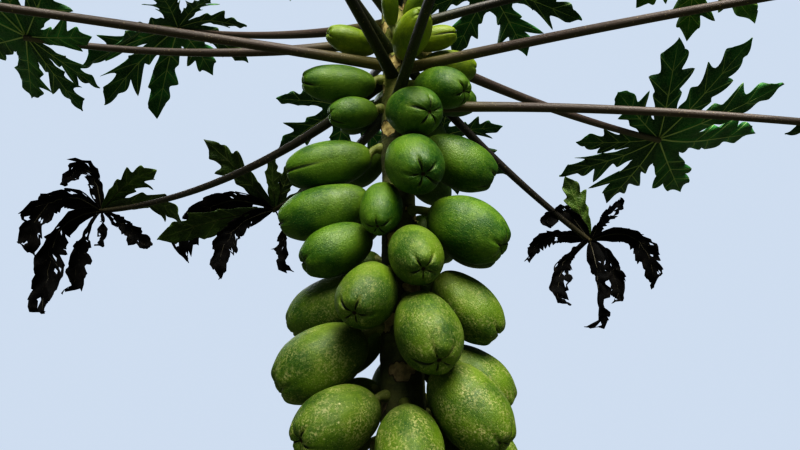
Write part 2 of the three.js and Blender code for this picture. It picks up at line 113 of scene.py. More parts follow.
# Near fruit, one stalk a row with one to three fruits: azimuth, height of the middle, droop and turn of the
# axis, length, width.
NEAR_FRUIT = [
    [(-62, 2496, -2, 0, 132, 68)],
    [(20, 2468, -12, 0, 146, 84), (-6, 2576, -46, 0, 96, 42)],
    [(76, 2500, -4, 0, 118, 62), (48, 2602, -44, 0, 84, 40), (102, 2470, 0, 0, 140, 84)],
    [(-74, 2384, 6, 0, 182, 92)],
    [(60, 2342, 25, -8, 150, 98), (100, 2420, 8, 8, 156, 90)],
    [(-74, 2304, 12, 0, 120, 78)],
    [(16, 2258, 26, 16, 158, 114)],
    [(-90, 2176, 13, 0, 206, 114)],
    [(84, 2182, 28, 8, 184, 122)],
    [(12, 2118, 38, 4, 176, 126)],
    [(-90, 2066, 16, -4, 216, 122)],
    [(-18, 2038, 58, 6, 136, 94)],
    [(60, 1984, 32, 10, 186, 136), (96, 2004, 36, 0, 176, 120)],
    [(-74, 1946, 28, 0, 168, 112)],
    [(13, 1918, 38, 0, 170, 113)],
    [(-110, 1868, 28, 0, 196, 124)],
    [(-22, 1846, 40, 0, 170, 122)],
    [(76, 1830, 46, 6, 184, 122)],
    [(20, 1752, 48, 0, 190, 132)],
    [(-74, 1706, 33, 0, 212, 146)],
    [(96, 1680, 38, 0, 180, 124)],
    [(52, 1620, 48, 5, 204, 140)],
    [(-52, 1588, 23, 0, 190, 132)],
    [(4, 1540, 44, 0, 192, 130)],
    [(88, 1540, 42, 0, 178, 126), (44, 1448, 50, 0, 186, 126)],
    [(-90, 1474, 42, 0, 184, 128), (-34, 1424, 50, 0, 178, 122)],
]
FAR_STALKS = 10
FAR_RANKS = (46, 6, -40)
FAR_LOWEST = 1466
FAR_STEP = 50

# Leaves from the oldest to the youngest: azimuth and height of the root, rise and bend of the petiole,
# sideways sweep, petiole length, blade radius, pitch and roll of the blade, limpness of its lobes, which
# arch up where it is below 0, and number of lobes.
LEAVES = [
    (126, 2497, -36, 6, -13, 730, 320, 0, 0, 1, 9),
    (8, 2346, -1, -8, 2, 869, 330, -30, 0, 0.25, 9),
    (-118, 2434, -28, 32, 5, 1000, 330, 0, 0, 1, 9),
    (80, 2334, -4, -10, -3, 1030, 330, -20, 0, 0.3, 9),
    (-152, 2347, -9, 8, 12, 710, 330, 0, 0, 1, 9),
    (-17, 2408, 5, -10, 0, 900, 330, -30, 0, 0.25, 9),
    (62, 2438, -3, -5, -1, 962, 340, -30, 0, 0.25, 9),
    (-65, 2450, -5, -3, 2, 1000, 350, -30, 0, 0.25, 9),
    (118, 2528, -11, 10, -5, 877, 450, 0, -22, -0.42, 9),
    (-32, 2474, 20, -14, 2, 860, 320, -24, 0, 0.25, 9),
    (-97, 2534, -5, 11, 14, 926, 360, 24, 16, -0.12, 9),
    (-166, 2500, 18, -3, 0, 780, 345, -24, 0, 0.25, 7),
    (174, 2424, 16, -4, -12, 790, 320, -24, 0, 0.25, 7),
    (88, 2556, 18, -8, 0, 800, 330, -16, 0, 0.25, 9),
    (-119, 2580, 10, 12, 5, 771, 370, -24, -16, 0.45, 9),
    (-50, 2596, 34, -14, 0, 780, 350, -14, 0, 0.22, 7),
    (25, 2618, 40, -14, 0, 760, 370, -10, 0, 0.22, 7),
    (148, 2628, 42, -12, 0, 780, 380, -12, 0, 0.22, 7),
    (-85, 2655, 38, -12, 0, 780, 380, -12, 0, 0.22, 7),
    (92, 2668, 50, -16, 0, 720, 360, -4, 0, 0.2, 7),
    (-150, 2680, 56, -16, 0, 680, 350, 4, 0, 0.2, 7),
    (-20, 2690, 66, -14, 0, 600, 310, 20, 0, 0.15, 7),
    (120, 2704, 76, -10, 0, 480, 250, 36, 0, 0.1, 7),
]

# The lobes of the withered leaves, by leaf: azimuth and rise where a lobe starts, length, limpness, how
# soon it gives way, and how far its margins have rolled under.
HANGING_LOBES = {
    1: [
        (-50, 68, 195, 0.3, 1, 0.45),
        (-68, 56, 240, 0.8, 1.1, 1),
        (-92, 22, 228, 0.62, 1.3, 0.8),
        (-62, -20, 290, 0.85, 1.4, 1),
        (-4, -45, 300, 1, 2, 1),
        (46, -28, 240, 1, 1.8, 1),
        (85, 26, 310, 0.9, 1.4, 0.6),
        (48, 50, 170, 0.35, 1.2, 0.8),
    ],
    3: [
        (-88, 36, 380, 1, 1.25, 0.9),
        (-62, 76, 280, 0.9, 1, 1),
        (-54, -14, 440, 1, 2.1, 1),
        (-24, -45, 310, 1, 2, 1),
        (50, -50, 150, 0.9, 1.6, 1),
        (78, -24, 255, 0.45, 1.1, 1),
        (88, 24, 290, 0.62, 1.1, 0.3),
        (62, 42, 240, 0.4, 1.2, 0.3),
    ],
    5: [
        (2, 50, 200, 0.1, 1, 0.3),
        (-62, 44, 320, 0.2, 1, 0.42),
        (34, 46, 190, 0.1, 1, 0.3),
        (76, 30, 220, 0.3, 1, 0.3),
        (-98, 26, 490, 1, 1, 0.7),
        (-88, -8, 390, 0.25, 1, 0.4),
        (-80, -14, 350, 1, 1.2, 0.9),
        (50, -45, 260, 1, 1.6, 1),
    ],
}


# Directions, places and lines
def heading(azimuth, rise):
    around, climb = math.radians(azimuth), math.radians(rise)
    flat = math.cos(climb)
    return Vector((math.sin(around) * flat, -math.cos(around) * flat, math.sin(climb)))


def trunk_centre(height):
    return LEAN * (height / TRUNK_HEIGHT) ** 2 + UP * height


def trunk_radius(height):
    taper = TRUNK_FOOT_RADIUS + (TRUNK_TIP_RADIUS - TRUNK_FOOT_RADIUS) * height / TRUNK_HEIGHT
    left = max(0, TRUNK_HEIGHT - height) / TIP_ROUNDING
    return taper * math.sqrt(1 - max(0, 1 - left) ** 2)


def line_point(points, share):
    """A point on the smooth line through the points."""
    last = len(points) - 1
    step = min(int(share * last), last - 1)
    part = share * last - step
    b, c = points[step], points[step + 1]
    a = points[step - 1] if step > 0 else b * 2 - c
    d = points[step + 2] if step + 2 <= last else c * 2 - b
    before, here, after = (max((q - p).length, 1e-4) ** 0.5 for p, q in ((a, b), (b, c), (c, d)))
    leave = ((b - a) / before - (c - a) / (before + here) + (c - b) / here) * here
    arrive = ((c - b) / here - (d - b) / (here + after) + (d - c) / after) * here
    squared = (c * 3 - b * 3 - leave * 2 - arrive) * part**2
    return b + leave * part + squared + (b * 2 - c * 2 + leave + arrive) * part**3


def smooth(value, low, high):
    """0 below low, 1 above high, and an even rise between them."""
    part = min(max((value - low) / (high - low), 0), 1)
    return part * part * (3 - 2 * part)


def hump(value, middle, width):
    """1 at the middle, and falling to 0 on both sides of it."""
    return math.exp(-(((value - middle) / width) ** 2))


# Where the fruit hangs
class Fruit:
    def __init__(self, azimuth, height, droop, turn, length, width):
        self.axis = heading(azimuth + turn, -droop)
        self.length = length
        self.width = width
        lying, standing = math.cos(math.radians(droop)), math.sin(math.radians(droop))
        reach = math.hypot(length / 2 * lying, width / 2 * standing)
        radial = trunk_radius(height) + FRUIT_HANG * width + reach
        self.centre = trunk_centre(height) + heading(azimuth, 0) * radial

    def balls(self):
        middle = self.width / 2
        end = middle * 0.9
        offset = self.length / 2 - end
        places = ((0, middle), (offset, end), (-offset, end))
        return [(self.centre + self.axis * along, radius) for along, radius in places]


def far_row(index):
    height = FAR_LOWEST + FAR_STEP * index
    age = (TRUNK_HEIGHT - height) / (TRUNK_HEIGHT - FAR_LOWEST)
    azimuth = 180 + FAR_RANKS[index % len(FAR_RANKS)] + 5 * math.sin(2.4 * index)
    droop = 52 * age - 8 + 5 * math.sin(1.7 * index)
    return (azimuth, height, droop, 0, 110 + 84 * age, 52 + 78 * age)


def push_apart(one, other):
    if (one.centre - other.centre).length > one.length / 2 + other.length / 2:
        return
    for centre, radius in one.balls():
        for next_centre, next_radius in other.balls():
            away = next_centre - centre
            lacking = radius + next_radius + FRUIT_FRUIT_GAP - away.length
            if lacking > 0:
                away.length = lacking * 0.25
                one.centre -= away
                other.centre += away


def keep_off_petioles(fruit, petiole_balls):
    for centre, radius in petiole_balls:
        if (fruit.centre - centre).length > fruit.length / 2 + radius + FRUIT_FRUIT_GAP:
            continue
        for ball, ball_radius in fruit.balls():
            away = ball - centre
            lacking = ball_radius + radius + FRUIT_FRUIT_GAP - away.length
            if lacking > 0:
                away.length = lacking * 0.3
                fruit.centre += away


def keep_off_trunk(fruit):
    for ball, radius in fruit.balls():
        out = ball - trunk_centre(ball.z)
        lacking = trunk_radius(ball.z) + radius + FRUIT_TRUNK_GAP - out.length
        if lacking > 0:
            out.length = lacking
            fruit.centre += out


FRUIT_RANGE = 400  # fruits further apart never meet
PETIOLE_RANGE = 300


def settle(fruits, petiole_balls):
    """Crowded fruits push each other away until they only touch."""
    pairs = [(a, b) for i, a in enumerate(fruits) for b in fruits[i + 1 :]]
    pairs = [(a, b) for a, b in pairs if (a.centre - b.centre).length < FRUIT_RANGE]
    balls_near = [[b for b in petiole_balls if (b[0] - f.centre).length < PETIOLE_RANGE] for f in fruits]
    for _ in range(SETTLE_STEPS):
        for one, other in pairs:
            push_apart(one, other)
        for fruit, balls in zip(fruits, balls_near):
            keep_off_petioles(fruit, balls)
        for fruit in fruits:
            keep_off_trunk(fruit)


def stalk_root(fruit):
    end = fruit.centre - fruit.axis * (fruit.length / 2)
    height = end.z + STALK_DROP * fruit.length
    inner = trunk_centre(height)
    out = (Vector((end.x, end.y, height)) - inner).normalized()
    return inner + out * trunk_radius(height)


# Where the leaves are
def petiole_line(leaf):
    azimuth, height, rise, bend, sweep, length = leaf[:6]
    steps = 10
    points = [trunk_centre(height), trunk_centre(height) + heading(azimuth, rise) * trunk_radius(height)]
    for step in range(steps):
        share = (step + 0.5) / steps
        way = heading(azimuth + sweep * share, rise + bend * share)
        points.append(points[-1] + way * (length / steps))
    return points


def petiole_radius(leaf, share):
    girth = THINNEST + (1 - THINNEST) * leaf[6] / GROWN_BLADE
    sheath = PETIOLE_SWELL * math.exp(-share / PETIOLE_SHEATH)
    taper = PETIOLE_ROOT_RADIUS + (PETIOLE_TIP_RADIUS - PETIOLE_ROOT_RADIUS) * share**0.6
    return taper * girth * (1 + sheath)


RIB_STEPS = 12  # in which a lobe's rib bends
STATIONS = 36  # along a lobe's rib
GUTTER = (0.1, 0.34)  # least and most rise of a sound lobe's halves from its rib
ROLL_RADIUS = 0.085  # of a fully rolled lobe's margins, as a share of its length
HOOK_FROM = 0.8  # share of a withered lobe from which its end hooks to one side
HOOK = 0.75  # how far it turns to that side


class Lobe:
    """One lobe of a blade: its rib's places, sides and normals, in even steps."""

    def __init__(self, start, way, side, length, limpness, haste, seed, roll=0, twist=0):
        draw = random.Random(seed)
        self.length = length
        self.seed = seed
        self.roll = roll  # how far the margins have rolled under, 0 on a sound leaf
        self.dry = roll > STILL_GREEN
        self.gutter = draw.uniform(*GUTTER) * (1 - roll)
        self.tone = draw.random()
        self.side_lobes = draw.uniform(0.5, 1.2)
        hook = draw.choice((-1, 1))
        rib = [start.copy()]
        for step in range(RIB_STEPS):
            give = limpness * min(1, (step + 0.5) / RIB_STEPS * haste)
            toward = way.lerp(DOWN, give).normalized()
            if self.dry and step > HOOK_FROM * RIB_STEPS:
                toward = toward.lerp(side * hook, HOOK).normalized()
            rib.append(rib[-1] + toward * (length / RIB_STEPS))
        self.centres = [line_point(rib, i / STATIONS) for i in range(STATIONS + 1)]
        self.sides, self.normals = [], []
        for i in range(STATIONS + 1):
            share = i / STATIONS
            tangent = self.centres[min(i + 1, STATIONS)] - self.centres[max(i - 1, 0)]
            stray = 0.12 + 1.4 * roll  # a withered lobe turns about more than a sound one
            angle = math.radians(twist) * (TWIST_START + (1 - TWIST_START) * share)
            angle += stray * share * noise.noise(Vector((share * 2.4, seed * 3.7, 5)))
            turn = Matrix.Rotation(angle, 3, tangent)
            self.normals.append(turn @ tangent.cross(side).normalized())
            self.sides.append(turn @ side)

    def lay(self, along, out, lift):
        """A point of the flat lobe, along its rib and out to one side, on the bent lobe."""
        share = min(max(along / self.length, 0), 1)
        step = min(int(share * STATIONS), STATIONS - 1)
        part = share * STATIONS - step
        lines = (self.centres, self.sides, self.normals)
        centre, side, normal = (line[step].lerp(line[step + 1], part) for line in lines)
        if self.roll:
            loose = 0.75 + 0.9 * noise.noise(Vector((share * 7, self.seed, 3 if out > 0 else 9)))
            radius = ROLL_RADIUS * self.length / (self.roll * loose * smooth(share, -0.1, 0.35))
            bend = out / radius
            out, lift = math.sin(bend) * radius, lift - (1 - math.cos(bend)) * radius
        return centre + side * out + normal * lift


def lobes_of(leaf, number):
    """A leaf's lobes: hanging ones on a withered leaf, or else a fan round the end of the petiole."""
    azimuth, _, _, _, sweep, _, radius, pitch, roll, limpness, count = leaf
    line = petiole_line(leaf)
    if number + 1 in HANGING_LOBES:
        hub = line[-1] + (line[-2] - line[-1]).normalized() * HANGING_SINK
        lobes = []
        for i, (around, rise, length, limp, haste, rolled) in enumerate(HANGING_LOBES[number + 1]):
            way = heading(around, rise)
            twist = TWIST * rolled * (1 if around < 0 else -1)
            side = UP.cross(way).normalized()
            lobes.append(Lobe(hub, way, side, length, limp, haste, number * 10 + i, rolled, twist))
        return lobes
    forward = heading(azimuth + sweep, pitch)
    across = UP.cross(forward).normalized()
    normal = Matrix.Rotation(math.radians(roll), 3, forward) @ forward.cross(across)
    start = line[-1] + normal * petiole_radius(leaf, 1)
    middle = (count - 1) / 2
    lobes = []
    for i in range(count):
        angle = math.radians((i - middle) * LOBE_FAN / (count - 1))
        way = Matrix.Rotation(angle, 3, normal) @ forward
        side = normal.cross(way)
        swing = math.sin(2.3 * i + azimuth)
        from_middle = (abs(i - middle) / middle) ** 1.5
        length = radius * (1 - (1 - BASAL_LENGTH) * from_middle) * (0.96 + 0.04 * swing)
        give = limpness * (0.8 + 0.2 * swing)
        lobes.append(Lobe(start, way, side, length, give, 1.5 + 0.6 * swing, number * 10 + i))
    return lobes


# Making meshes
def sleeve(bm, sides, steps, place, mark=None):
    """A closed skin: a grid wrapped round by place(turn, share), its seam and its pinched ends merged. What
    mark(turn, share) gives is kept on the points, for the material to read."""
    grid = bmesh.ops.create_grid(bm, x_segments=sides, y_segments=steps, size=0.5, calc_uvs=True)["verts"]
    kept = bm.verts.layers.float.get(MARK)
    for vert in grid:
        turn, share = (vert.co.x + 0.5) * TURN, vert.co.y + 0.5
        vert.co = place(turn, share)
        if mark:
            vert[kept] = mark(turn, share)
    bmesh.ops.remove_doubles(bm, verts=grid, dist=SEAM)


def tube(bm, path, radius_at, sides, flatten=lambda share: 1):
    """A round limb along a path, closed at both ends. radius_at takes the share of the way."""
    steps = len(path) - 1
    frames = []
    for i, point in enumerate(path):
        tangent = (path[min(i + 1, steps)] - path[max(i - 1, 0)]).normalized()
        left = UP.cross(tangent)
        left = left.normalized() if left.length > 0.05 else Vector((1, 0, 0))
        frames.append((point, left, tangent.cross(left)))

    def place(turn, share):
        row = round(share * (steps + 2)) - 1
        step = min(max(row, 0), steps)
        point, left, top = frames[step]
        radius = radius_at(step / steps) if row == step else 0
        wide = flatten(step / steps)
        return point + left * (math.cos(turn) * radius * wide) + top * (math.sin(turn) * radius)

    sleeve(bm, sides, steps + 2, place)


def new_piece_mesh():
    bm = bmesh.new()
    bm.loops.layers.uv.new("UVMap")
    bm.verts.layers.float.new(MARK)
    return bm


def nodes_of(kind, numbers):
    return [f"{kind}_{number + 1:02d}" for number in numbers]


def add(name, data):
    made = bpy.data.objects.new(name, data)
    scene.collection.objects.link(made)
    return made


def add_mesh(bm, name, material):
    mesh = bpy.data.meshes.new(name)
    bm.to_mesh(mesh)
    bm.free()
    mesh.materials.append(material)
    return add(name, mesh)


def finish_piece(bm, name, material, nodes):
    """The mesh in metres, smooth, as an object that rides on the plant and stands for its CAD nodes."""
    bmesh.ops.scale(bm, vec=(MM, MM, MM), verts=bm.verts)
    for face in bm.faces:
        face.smooth = True
    piece = add_mesh(bm, name, material)
    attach(piece, "root")
    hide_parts(*nodes)
    return piece


# Building materials
class Graph:
    """Adds nodes to a tree. Each call names the node, what feeds its inputs, and its settings."""

    def __init__(self, tree):
        self.tree = tree

    def __call__(self, kind, feeds=None, **settings):
        node = self.tree.nodes.new("ShaderNode" + kind)
        for name, value in settings.items():
            setattr(node, name, value)
        for socket, value in (feeds or {}).items():
            if isinstance(value, bpy.types.NodeSocket):
                self.tree.links.new(value, node.inputs[socket])
            else:
                node.inputs[socket].default_value = value
        return node

    def mix(self, factor, first, second):
        """Each colour is a socket, or its red, green and blue as the eye reads them, 0 to 255."""
        first, second = (linear(each) if isinstance(each, tuple) else each for each in (first, second))
        return self("Mix", {0: factor, 6: first, 7: second}, data_type="RGBA").outputs[2]

    def coats(self, base, *coats):
        """The base colour under coats, each its factor and its colour."""
        for factor, shade in coats:
            base = self.mix(factor, base, shade)
        return base

    def rise(self, value, low, high, floor=0, roof=1):
        feeds = {0: value, 1: low, 2: high, 3: floor, 4: roof}
        return self("MapRange", feeds, interpolation_type="SMOOTHSTEP").outputs[0]

    def math(self, operation, first, second=0):
        return self("Math", {0: first, 1: second}, operation=operation).outputs[0]

    def plus(self, first, second):
        return self.math("ADD", first, second)

    def times(self, first, second):
        return self.math("MULTIPLY", first, second)

    def noise(self, vector, scale, detail=3, roughness=0.5):
        feeds = {"Vector": vector, "Scale": scale, "Detail": detail, "Roughness": roughness}
        return self("TexNoise", feeds).outputs[0]

    def stretched(self, vector, scale):
        return self("Mapping", {"Vector": vector, "Scale": scale}).outputs[0]

    def place(self):
        return self("TexCoord").outputs["Object"]

    def run(self):
        return self("UVMap", uv_map="UVMap").outputs[0]

    def mark(self):
        return self("Attribute", attribute_name=MARK).outputs["Fac"]

    def split(self, vector):
        return self("SeparateXYZ", {0: vector}).outputs

    def effect(self, tree, *feeds):
        return self("Group", dict(enumerate(feeds)), node_tree=tree).outputs[0]

    def mottle(self, vector, scale):
        return self.effect(MOTTLE, vector, scale)


def linear(shade):
    return tuple((part / 255) ** 2.2 for part in shade) + (1,)


def make_effect(mask, *numbers):
    """A node group of mask(graph, vector, ...), with the named numbers as its other inputs."""
    tree = bpy.data.node_groups.new(mask.__name__, "ShaderNodeTree")
    tree.interface.new_socket("Vector", in_out="INPUT", socket_type="NodeSocketVector")
    for number in numbers:
        tree.interface.new_socket(number, in_out="INPUT", socket_type="NodeSocketFloat")
    tree.interface.new_socket("Mask", in_out="OUTPUT", socket_type="NodeSocketFloat")
    inputs = tree.nodes.new("NodeGroupInput").outputs
    result = mask(Graph(tree), *inputs[: 1 + len(numbers)])
    tree.links.new(result, tree.nodes.new("NodeGroupOutput").inputs[0])
    return tree


def speckle(g, vector, scale, size):
    """Small pale dots of uneven strength."""
    cells = g("TexVoronoi", {"Vector": vector, "Scale": scale})
    dot = g.math("SUBTRACT", size, cells.outputs["Distance"])
    strength = g("SeparateColor", {0: cells.outputs["Color"]}).outputs[0]
    return g.times(g.rise(dot, 0, 0.12), g.rise(strength, 0.35, 0.9))


def mottle(g, vector, scale):
    """Broad uneven patches with a finer grain over them."""
    broad = g.noise(vector, scale, 2)
    fine = g.noise(vector, g.times(scale, 7), 3, 0.6)
    both = g.plus(g.times(broad, 0.75), g.times(fine, 0.25))
    return g.rise(both, 0.36, 0.64)


SPECKLE = make_effect(speckle, "Scale", "Size")
MOTTLE = make_effect(mottle, "Scale")


def material(name, paint, roughness=0.5, **sockets):
    """A material whose paint(graph) returns its colour, its roughness or None, the height of its relief or
    None, and how deep that relief is in metres."""
    made = bpy.data.materials.new(name)
    made.use_nodes = True
    tree = made.node_tree
    shader = tree.nodes["Principled BSDF"]
    shader.inputs["Roughness"].default_value = roughness
    for socket, value in sockets.items():
        shader.inputs[socket.replace("_", " ")].default_value = value
    g = Graph(tree)
    base, rough, height, depth = paint(g)
    tree.links.new(base, shader.inputs["Base Color"])
    if rough is not None:
        tree.links.new(rough, shader.inputs["Roughness"])
    if height is not None:
        bump = g("Bump", {"Height": height, "Strength": 0.6, "Distance": depth})
        tree.links.new(bump.outputs[0], shader.inputs["Normal"])
    return made


def skin_material(name, deep, light, bloom, dots, scurf, roughness):
    """Fruit skin: mottled green with fine streaks and dots, painted shade in the creases with pale rims
    beside them, a brown navel and, lower on the tree, greyish scurf."""

    def paint(g):
        place, run, crease = g.place(), g.run(), g.mark()
        along = g.split(run)[1]
        grain = g.noise(g.stretched(run, (60, 5, 1)), 3, 5, 0.7)
        cover = g.noise(g.stretched(run, (5, 2, 1)), 2, 4, 0.6)
        crust = g.times(g.rise(g.noise(place, 210, 3, 0.7), 0.47, 0.6), g.rise(cover, 0.35, 0.7))
        worn = g.times(g.rise(g.split(place)[2], 2.05, 1.5, 0.2), scurf)
        skin = g.coats(
            g.mix(g.mottle(place, 13), deep, light),
            (g.rise(along, 0.5, 0.05, 0, 0.3), bloom),
            (g.rise(grain, 0.45, 0.75, 0, 0.5), bloom),
            (g.times(crust, worn), (158, 156, 108)),
            (g.times(g.effect(SPECKLE, place, 260, 0.3), dots), (168, 176, 110)),
            (g.times(g.effect(SPECKLE, place, 52, 0.16), worn), (176, 174, 130)),
            (g.rise(crease, 0.05, 0.2, 0, 0.28), bloom),
            # painted shade: the skin darkens towards the bottom of each crease
            (g.rise(crease, 0.2, 0.62, 0, 0.9), tuple(part * 0.45 for part in deep)),
            (g.rise(along, 0.955, 0.972), (62, 52, 28)),
        )
        rough = g.rise(g.mottle(place, 30), 0, 1, roughness - 0.06, roughness + 0.1)
        relief = g.plus(g.noise(place, 260, 3, 0.6), g.times(grain, 0.4))
        return skin, rough, relief, 0.0018

    return material(name, paint, roughness, Specular_IOR_Level=0.4)


def limb_material(name, root, middle, tip, painted_highlight, roughness):
    """Petiole or stalk: its colour changes from root to tip, with fine streaks of painted highlight along
    it and small dots.
    """

    def paint(g):
        place, run = g.place(), g.run()
        along = g.split(run)[1]
        streak = g.noise(g.stretched(run, (18, 2, 1)), 3, 4, 0.6)
        skin = g.coats(
            root,
            (g.rise(along, 0.06, 0.34), middle),
            (g.rise(along, 0.8, 1), tip),
            # painted highlight: streaks along the limb in the colour of its lit top
            (g.rise(streak, 0.42, 0.7, 0, 0.55), painted_highlight),
            (g.times(g.effect(SPECKLE, place, 160, 0.26), 0.5), (168, 150, 110)),
        )
        relief = g.plus(streak, g.times(g.noise(place, 150), 0.4))
        return skin, None, relief, 0.0015

    return material(name, paint, roughness)


def blade_material(name, deep, light, vein, roughness):
    """Leaf blade: its side veins follow the mesh, and a net of small veins lies between them. Each lobe has
    its own tone, and on the paler ones a painted glow of light shining through spreads yellow-green from
    the veins."""

    def paint(g):
        place, tone = g.place(), g.mark()
        out, number, _ = g.split(g.run())
        patch = g.mottle(place, 11)
        shade = g.plus(g.times(patch, 0.5), g.times(tone, 0.6))
        off = g.math("ABSOLUTE", g.math("SUBTRACT", g.math("FRACT", g.plus(number, 0.5)), 0.5))
        # painted light: a yellow-green glow of light shining through the paler lobes, beside their veins
        beside = g.math("MAXIMUM", g.rise(off, 0.3, 0.04), g.rise(out, 0.35, 0.05))
        painted_glow = g.times(g.times(beside, g.rise(tone, 0.3, 0.9, 0.1, 0.5)), patch)
        net = g("TexVoronoi", {"Vector": place, "Scale": 120}, feature="DISTANCE_TO_EDGE").outputs[0]
        side_vein = g.rise(g.plus(off, g.times(out, 0.012)), 0.045, 0.02)
        lines = g.math("MAXIMUM", side_vein, g.rise(out, 0.06, 0.03))
        lamina = g.coats(
            g.mix(g.rise(shade, 0.1, 1), deep, light),
            (painted_glow, tuple(min(255, 1.5 * part + 14) for part in light)),
            (g.rise(net, 0.09, 0.02, 0, 0.22), vein),
            (g.times(lines, 0.7), vein),
        )
        relief = g.math("SUBTRACT", g.times(g.rise(net, 0, 0.25), 0.6), lines)
        return lamina, None, relief, 0.0016

    return material(name, paint, roughness, Specular_IOR_Level=0.3)


def dry_material(name, deep, light, edge, roughness):
    """Withered lamina: wrinkled, blotched and dull, with a painted highlight of warm brown on the crests of
    its wrinkles.
    """

    def paint(g):
        place = g.place()
        shade = g.times(g.mottle(place, 26), g.rise(g.mark(), 0, 1, 0.3))
        wrinkle = g.noise(place, 90, 5, 0.7)
        # painted highlight: the edge colour lies where the wrinkle relief stands highest
        skin = g.coats(g.mix(shade, deep, light), (g.rise(wrinkle, 0.56, 0.72, 0, 0.6), edge))
        return skin, None, wrinkle, 0.004

    return material(name, paint, roughness, Specular_IOR_Level=0.15)


def bark_material():
    def paint(g):
        place, scar = g.place(), g.mark()
        height = g.split(place)[2]
        young = g.mix(g.mottle(place, 22), (52, 58, 34), (92, 96, 58))
        green = g.mix(g.mottle(place, 30), (96, 108, 44), (160, 160, 92))
        rings = g.noise(g.stretched(place, (3, 3, 70)), 3, 4, 0.6)
        grain = g.mottle(place, 60)
        fresh = g.mix(grain, (178, 162, 112), (124, 108, 68))
        worn = g.mix(grain, (144, 128, 100), (104, 92, 72))
        lichen = g.rise(g.noise(place, 34, 4, 0.6), 0.62, 0.68, 0, 0.5)
        skin = g.coats(
            g.mix(g.mottle(place, 16), (104, 97, 80), (142, 135, 116)),
            # painted shade as well as younger bark: darker olive from 0.8 m up, over the height where the
            # fruit hangs
            (g.rise(height, 0.8, 1.6), young),
            (g.rise(height, 2.2, 2.5), green),
            (g.rise(rings, 0.5, 0.72, 0, 0.4), (58, 52, 38)),
            (g.rise(scar, 0.05, 0.3), (52, 42, 30)),
            (g.rise(scar, 0.4, 0.75), g.mix(g.rise(height, 1.5, 2.1), worn, fresh)),
            (g.times(lichen, g.rise(height, 1.6, 0.9)), (176, 178, 160)),
        )
        relief = g.plus(rings, g.times(g.noise(place, 160, 4, 0.6), 0.6))
        return skin, None, relief, 0.003

    return material("papaya_bark", paint, 0.82)


def plain_material(name, shade, roughness):
    def paint(g):
        darker = tuple(part - 4 for part in shade)
        return g.mix(g.mottle(g.place(), 1.5), shade, darker), None, None, 0

    return material(name, paint, roughness)


# The trunk
SCAR_TOP = 2700
SCAR_STEP = 36
SCAR_ANGLE = 137.5
SCAR_PHASE = 26
SCAR_WIDTH = 0.7  # half width in radians round the trunk
SCAR_HEIGHT = 21
SCAR_RIM = 2.4  # how far a scar's rim stands out, and its middle lies in
SCAR_HOLLOW = 1.6
BARK_FADE = 60  # the relief fades out over this much at the foot and the tip
TRUNK_SIDES = 120
TRUNK_STEPS = 540


def scar_mark(turn, height):
    """How deep a point lies in a leaf scar, 0 to 1, and how far it stands out or in there."""
    mark, relief = 0, 0
    nearest = round((SCAR_TOP - height) / SCAR_STEP)
    for number in range(max(nearest - 1, 0), nearest + 2):
        draw = random.Random(number)
        around = math.radians(SCAR_ANGLE * number + SCAR_PHASE + draw.uniform(-8, 8))
        aside = math.remainder(turn - around, TURN) / (SCAR_WIDTH * draw.uniform(0.85, 1.15))
        rise = (height - (SCAR_TOP - number * SCAR_STEP)) / (SCAR_HEIGHT * draw.uniform(0.8, 1.15))
        drop = rise + 0.5 * (1 - min(abs(aside), 1)) - 0.22
        reach = math.hypot(aside, drop) + 0.3 * noise.noise(Vector((turn * 5, height / 14, number)))
        inside = smooth(reach, 1.08, 0.8)
        rim = hump(reach, 1, 0.13)
        mark = max(mark, inside)
        relief += SCAR_RIM * rim - SCAR_HOLLOW * inside
    return mark, relief


def make_trunk():
    bm = new_piece_mesh()

    def station(share):
        row = round(share * (TRUNK_STEPS + 2)) - 1
        return row, TRUNK_HEIGHT * min(max(row, 0), TRUNK_STEPS) / TRUNK_STEPS

    def fade(height):
        return smooth(height, 0, BARK_FADE) * smooth(height, TRUNK_HEIGHT, TRUNK_HEIGHT - BARK_FADE)

    def place(turn, share):
        row, height = station(share)
        if not 0 <= row <= TRUNK_STEPS:
            return trunk_centre(height)
        radius = max(3, trunk_radius(height))
        ridge = 1 - RIDGE_DEPTH + RIDGE_DEPTH * math.cos(FLARE_RIDGES * turn)
        flare = FLARE_WIDTH * ridge * math.exp(-height / FLARE_FALL)
        relief = scar_mark(turn, height)[1]
        spoke = Vector((math.cos(turn), math.sin(turn), 0))
        lump = 2.4 * noise.noise(spoke + UP * (height / 180))
        grain = 0.9 * noise.noise(spoke * 6 + UP * (height / 11))
        grain += 0.5 * noise.noise(spoke * 14 + UP * (height / 5))
        return trunk_centre(height) + spoke * (radius + flare + (relief + grain + lump) * fade(height))

    def mark(turn, share):
        height = station(share)[1]
        return scar_mark(turn, height)[0] * fade(height)

    sleeve(bm, TRUNK_SIDES, TRUNK_STEPS + 2, place, mark)
    finish_piece(bm, "trunk_bark", bark_material(), ["trunk"])


# The fruit
FRUIT_SIDES, FRUIT_ROWS = 80, 60
FAR_SIDES, FAR_ROWS = 50, 40
CREASES = 5
CREASE_WIDTH = 0.14  # as a share of half the way to the next crease
CREASE_DEPTH = 0.055  # as a share of the fruit's half width
NAVEL = 0.13  # radians round the tip
NAVEL_DEPTH = 0.045  # as a share of the fruit's length
NECK = 0.03  # how far its end rises to meet the stalk, likewise
PUFF = 0.07  # how far it swells between the creases, as a share of its half width
LIP = 0.02  # how far the skin stands out beside a crease, likewise
LUMP = 0.02
ANGLE = 0.012


